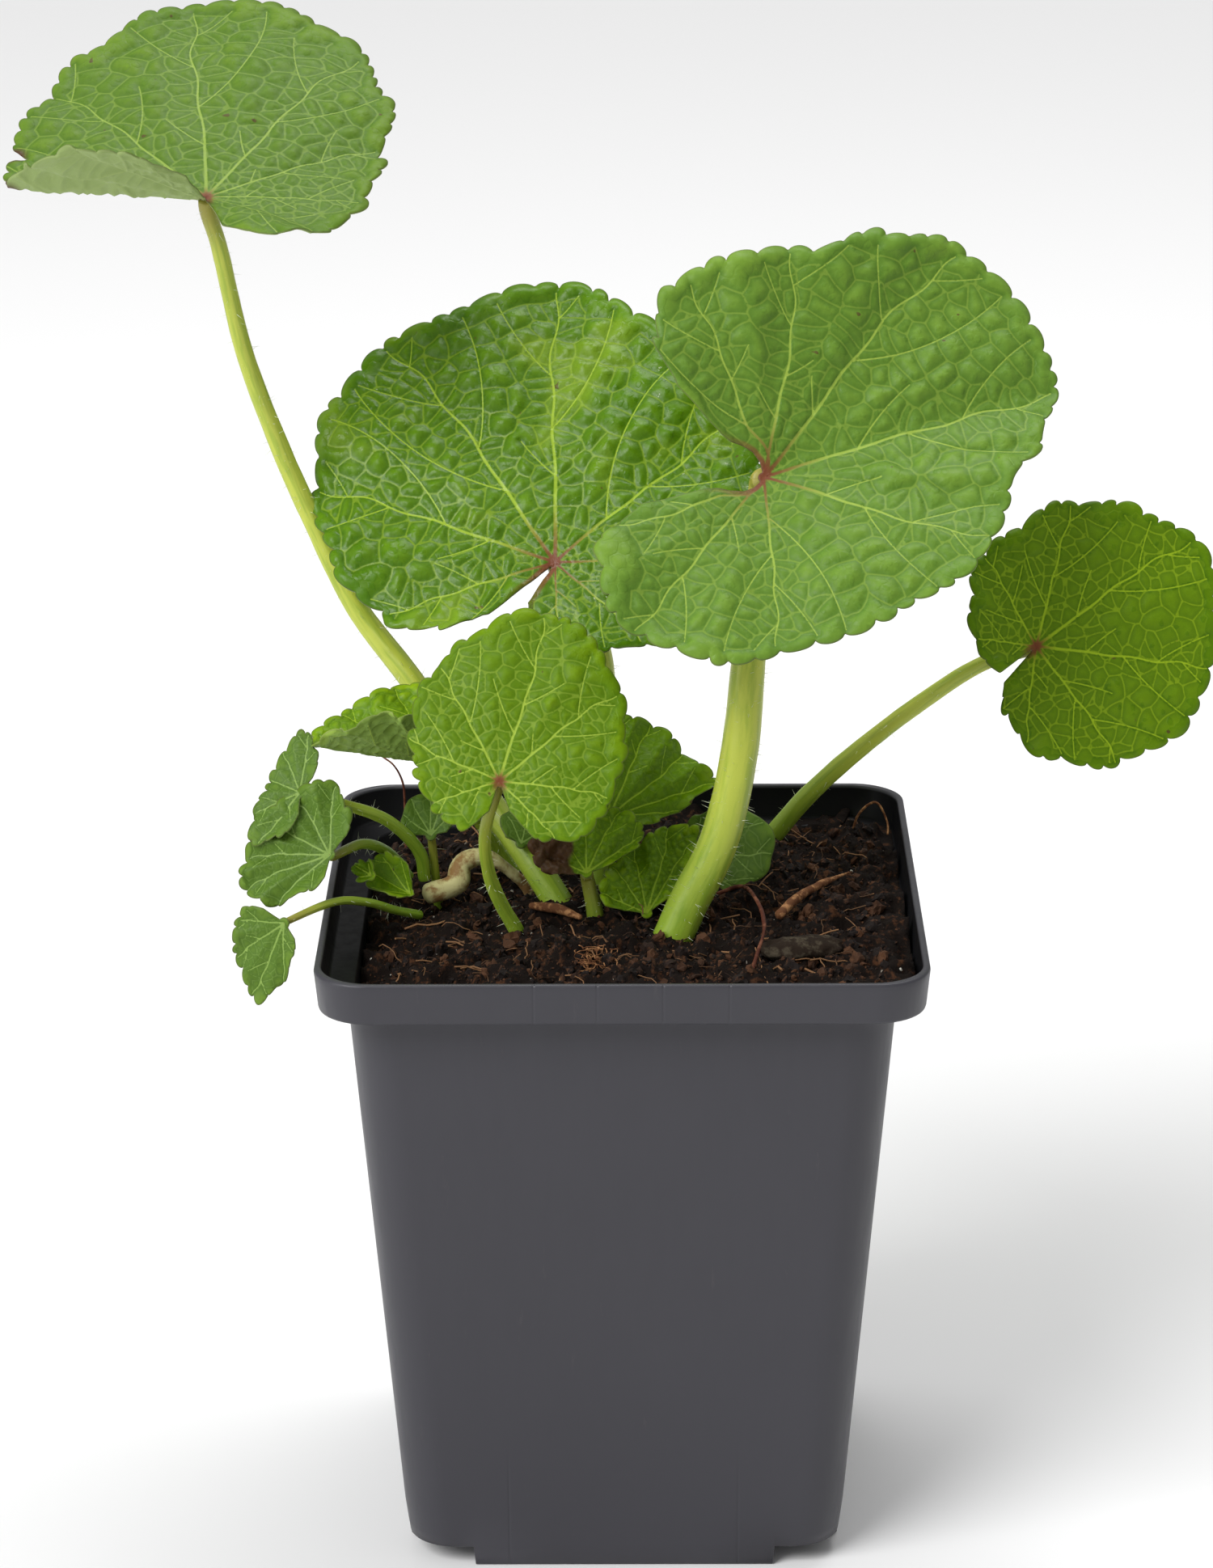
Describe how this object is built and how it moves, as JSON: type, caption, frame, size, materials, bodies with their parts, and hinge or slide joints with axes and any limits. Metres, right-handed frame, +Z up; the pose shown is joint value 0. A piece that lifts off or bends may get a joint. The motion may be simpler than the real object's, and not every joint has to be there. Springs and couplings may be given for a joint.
{
  "type": "potted hollyhock",
  "caption": "Young hollyhock with round scalloped leaves on long arching stalks, in a square tapered nursery pot with a stepped collar.",
  "frame": {"origin": "middle of the pot's foot, on the surface that it stands on", "axes": "+Z up, -Y the front, +X to the right seen from the front"},
  "size_m": [0.1863, 0.1079, 0.2234],
  "materials": {
    "pot": "satin moulded, dark blue-grey",
    "soil": "crumbly peat and coir",
    "bark": "rough bark and root",
    "glossy_leaf": "glossy, puckered, pale veins",
    "satin_leaf": "satin with fine hairs, pale veins",
    "olive_leaf": "satin, crisp pale veins",
    "young_leaf": "crinkled, hairy",
    "grey_leaf": "dull grey-green",
    "stalk": "smooth, sparsely hairy",
    "pale_stem": "smooth, cream turning tan"
  },
  "bodies": {
    "root": {"pot": "pot", "leaf_high_left": "satin_leaf", "leaf_centre": "glossy_leaf", "leaf_large_right": "satin_leaf", "leaf_front": "satin_leaf", "leaf_low_right": "olive_leaf", "leaf_folded_left": "young_leaf", "young_leaf_pleated": "young_leaf", "young_leaf_withered": "young_leaf", "young_leaf_basal": "young_leaf", "seed_leaf_left": "grey_leaf", "seed_leaf_behind": "grey_leaf", "seed_leaf_right": "grey_leaf", "seedling_leaf_upper": "grey_leaf", "seedling_leaf_pleated": "grey_leaf", "seedling_leaf_hanging": "grey_leaf", "seedling_leaf_cupped": "young_leaf", "seedling_leaf_frilly": "young_leaf", "soil": "soil", "stalk_high_left": "stalk", "stalk_large_right": "stalk", "stalk_low_right": "stalk", "stalk_front": "stalk", "stalk_centre": "stalk", "stalk_folded": "stalk", "stalk_pleated": "stalk", "stalk_withered": "stalk", "seed_leaf_left_stalk": "stalk", "seedling_stem": "pale_stem", "seedling_stalk_upper": "stalk", "seedling_stalk_pleated": "stalk", "seedling_stalk_hanging": "stalk", "bark_chunk": "bark", "fibre_clump": "bark", "bark_sliver": "bark", "wood_sliver": "bark", "root_arch": "bark", "root_upright": "bark", "root_loop": "bark"}
  },
  "joints": []
}
